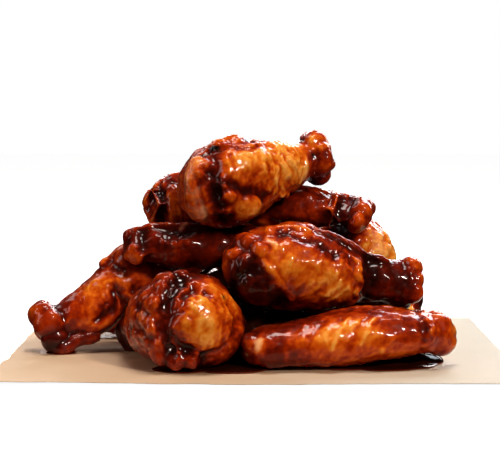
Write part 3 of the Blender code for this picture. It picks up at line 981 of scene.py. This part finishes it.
def addPaper():
    low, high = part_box("paper_sheet")
    width, depth = high.x - low.x, high.y - low.y
    bpy.ops.object.select_all(action="DESELECT")
    columns, rows = int(width / (paper["cell"] * mm)), int(depth / (paper["cell"] * mm))
    bpy.ops.mesh.primitive_grid_add(x_subdivisions=columns, y_subdivisions=rows, size=1, location=(0, 0, 0))
    sheet = bpy.context.object
    sheet.name = "paper_detailed"
    points = readPoints(sheet.data)
    across, back = points[:, 0] * 2, points[:, 1] * 2
    # torn by hand: each side wavers a little, more on the left
    side = wander([(y * 5, 3, 0) for y in back])
    front = wander([(x * 5, 9, 0) for x in across])
    x = across * (width / 2 - (1.4 + side * np.where(across < 0, 1.6, 1.0)) * mm * 0.8)
    y = back * (depth / 2 - (1.0 + front) * mm * 0.9)
    wave = wander([(a * 1.5, b * 1.2, 0.4) for a, b in zip(across, back)], 2)
    fine = np.array([abs(noise.noise(Vector((a * 7, b * 4, 2)))) for a, b in zip(across, back)])
    rim = np.clip(np.hypot(across, back) - 0.75, 0, 1)
    ripple = paper["waves"] * (0.35 + rim) * (wave + 1) * 0.6
    z = (ripple + 0.25 * fine + paper["curl"] * rim ** 2 * (1 + wave)) * mm
    writePoints(sheet.data, np.stack([x, y, z - z.min()], axis=1))
    applyModifier(sheet, "SOLIDIFY", thickness=paper["thickness"] * mm, offset=1)
    # grease soaks in under the wings and fades a little way out from them
    points = readPoints(sheet.data)
    tree = neighbours("none")
    gap = np.array([tree.find_nearest(Vector(p), 20 * mm)[3] or 20 * mm for p in points])
    soaked = np.clip((7 * mm - gap) / (3 * mm) + wander(points / (12 * mm), 3) * 2.2, 0, 1)
    storeField(sheet.data, "grease", soaked * np.clip((15 * mm - gap) / (3 * mm), 0, 1))
    sheet.data.materials.append(paperFinish())
    pickOnly(sheet)
    bpy.ops.object.shade_smooth_by_angle(angle=math.radians(40))
    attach(sheet, "root")
    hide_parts("paper_sheet")


addPaper()
print("paper is laid")


# each blob is its middle x and y, its half width, half depth and half height in mm, and at times its lift
pools = {
    # the right pool is real sauce under the flat front wing's raised end and also painted shadow beneath it
    "right": [(58, -46, 27, 24, 1.2), (74, -40, 14, 15, 4.6), (58, -50, 14, 13, 3.2), (42, -56, 16, 12, 1.1)],
    "front": [(-12, -62, 17, 15, 1.2), (-34, -64, 15, 12, 1.0), (0, -50, 14, 16, 1.2), (20, -50, 20, 14, 1.0)],
    # the tall near-black blob in the gap among the wings is painted shade, not a pool
    "between": [(12, -34, 30, 9, 24), (-6, -36, 14, 10, 30)],
    "left": [(-96, -19, 8, 6, 0.7)],
}
pooled = {
    "tones": [
        (0.0, (0.30, 0.07, 0.02)), (0.25, (0.12, 0.012, 0.003)), (0.6, (0.03, 0.003, 0.001)),
        (1.0, (0.022, 0.003, 0.001)),
    ],
    "lift": 0.8, "floor": 0.1, "cell": 0.4,
}


def sauceAndShadeFinish():
    maker = Maker("pooledSauceAndShade")
    place = maker.node("ShaderNodeTexCoord", output=3)
    tone = maker.node("ShaderNodeValToRGB", {"stops": pooled["tones"]}, {0: maker.field("depth")})
    bump = maker.bump(0.08, 0.0006, maker.noise(place, 120, Detail=2))
    return maker.surface(**{"Base Color": tone, "Roughness": 0.08, "IOR": 1.16, "Normal": bump})


def addBlob(x, y, wide, deep, high, lift=pooled["lift"]):
    bpy.ops.mesh.primitive_uv_sphere_add(
        segments=48, ring_count=16, radius=1, location=(x * mm, y * mm, lift * mm),
        scale=(wide * mm, deep * mm, high * mm))
    bpy.ops.object.transform_apply(location=True, rotation=True, scale=True)
    blob = bpy.context.object
    points = readPoints(blob.data)
    points[:, 2] = np.maximum(points[:, 2], pooled["floor"] * mm)   # flat underneath, within the paper
    writePoints(blob.data, points)
    return blob


def addPool(name, blobs, finish):
    discs = [addBlob(*blob) for blob in blobs]
    pickOnly(*discs)
    if len(discs) > 1:
        bpy.ops.object.join()
    pool = bpy.context.object
    pool.name = "sauce_pool_" + name
    applyModifier(pool, "REMESH", mode="VOXEL", voxel_size=pooled["cell"] * mm)
    points = readPoints(pool.data)
    bend = np.array([noise.noise_vector(Vector(p)) for p in points / (9 * mm)])
    points[:, :2] += bend[:, :2] * 1.0 * mm
    writePoints(pool.data, points)
    applyModifier(pool, "SMOOTH", factor=0.5, iterations=6)
    points = readPoints(pool.data)
    storeField(pool.data, "depth", np.clip((points[:, 2] - 0.7 * mm) / (0.6 * mm), 0, 1))
    pool.data.materials.append(finish)
    pickOnly(pool)
    bpy.ops.object.shade_smooth()
    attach(pool, "root")


poolAndShadeFinish = sauceAndShadeFinish()
for name, blobs in pools.items():
    addPool(name, blobs, poolAndShadeFinish)
print("sauce is pooled")
